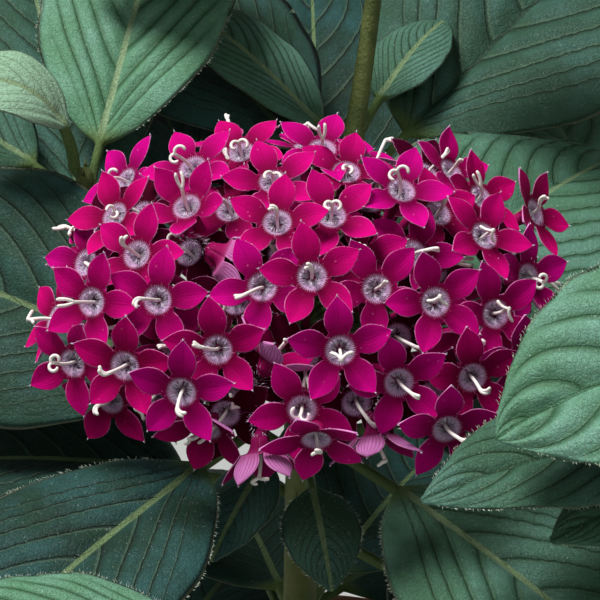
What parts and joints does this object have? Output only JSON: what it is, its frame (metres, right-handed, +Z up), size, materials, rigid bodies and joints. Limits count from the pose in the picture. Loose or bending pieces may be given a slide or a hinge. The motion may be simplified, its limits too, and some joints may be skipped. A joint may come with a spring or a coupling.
{
  "type": "potted pentas",
  "caption": "Potted pentas: a broad domed head of star-shaped magenta florets over pairs of deep green veined leaves, in a plain clay pot.",
  "frame": {"origin": "middle of the pot's flat foot, where it rests", "axes": "+Z up, +X the plant's right and +Y its back, as seen from the side with most florets"},
  "size_m": [0.2775, 0.2491, 0.2433],
  "materials": {
    "clay": "matte unglazed clay, faintly mottled",
    "soil": "dark crumbly potting soil",
    "stems": "matte green stem, browner towards the foot",
    "leaves": "soft satin leaf with sunken veins",
    "petals": "velvety petal with a pale rim"
  },
  "bodies": {
    "root": {"pot": "clay", "soil": "soil", "flower_head": "petals", "main_stem": "stems", "right_stem": "stems", "left_stem": "stems", "back_stem": "stems", "far_right_stem": "stems", "near_left_stem": "stems", "near_stem": "stems", "leaf_01": "leaves", "leaf_02": "leaves", "leaf_03": "leaves", "leaf_04": "leaves", "leaf_05": "leaves", "leaf_06": "leaves", "leaf_07": "leaves", "leaf_08": "leaves", "leaf_09": "leaves", "leaf_10": "leaves", "leaf_11": "leaves", "leaf_12": "leaves", "leaf_13": "leaves", "leaf_14": "leaves", "leaf_15": "leaves", "leaf_16": "leaves", "leaf_17": "leaves", "leaf_18": "leaves", "leaf_19": "leaves", "leaf_20": "leaves", "leaf_21": "leaves", "leaf_22": "leaves", "leaf_23": "leaves", "leaf_24": "leaves", "leaf_25": "leaves", "leaf_26": "leaves", "leaf_27": "leaves", "leaf_28": "leaves", "leaf_29": "leaves", "leaf_30": "leaves", "leaf_31": "leaves", "leaf_32": "leaves", "leaf_33": "leaves", "leaf_34": "leaves", "leaf_35": "leaves", "leaf_36": "leaves", "leaf_37": "leaves", "leaf_38": "leaves", "leaf_39": "leaves", "leaf_40": "leaves", "leaf_41": "leaves", "leaf_42": "leaves", "leaf_43": "leaves", "leaf_44": "leaves", "leaf_45": "leaves", "leaf_46": "leaves", "leaf_47": "leaves", "leaf_48": "leaves", "leaf_49": "leaves", "leaf_50": "leaves"}
  },
  "joints": []
}
